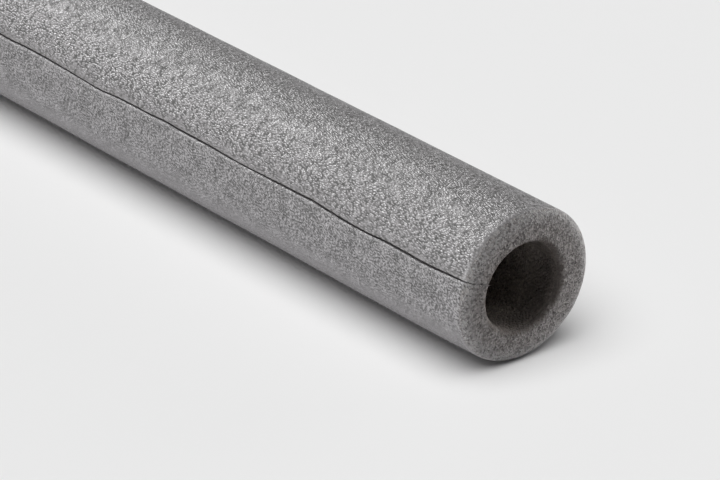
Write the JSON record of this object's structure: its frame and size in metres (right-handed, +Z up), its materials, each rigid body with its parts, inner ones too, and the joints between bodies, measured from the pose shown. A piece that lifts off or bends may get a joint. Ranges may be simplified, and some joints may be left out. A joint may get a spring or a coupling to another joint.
{
  "type": "pipe insulation lagging",
  "caption": "Straight length of grey closed-cell foam pipe insulation: thick-walled round tube with a plain bore, pebbled skin and a knife slit along one side.",
  "frame": {"origin": "on the floor under the middle of the tube", "axes": "+X along the tube towards the cut end that faces the viewer, +Z up, -Y towards the side that has the slit"},
  "size_m": [1, 0.041, 0.041],
  "materials": {
    "grey_foam": "grey closed-cell polyethylene foam with a slightly glossy pebbled skin and dull cut ends"
  },
  "bodies": {
    "root": {"foam_tube": "grey_foam"}
  },
  "joints": []
}
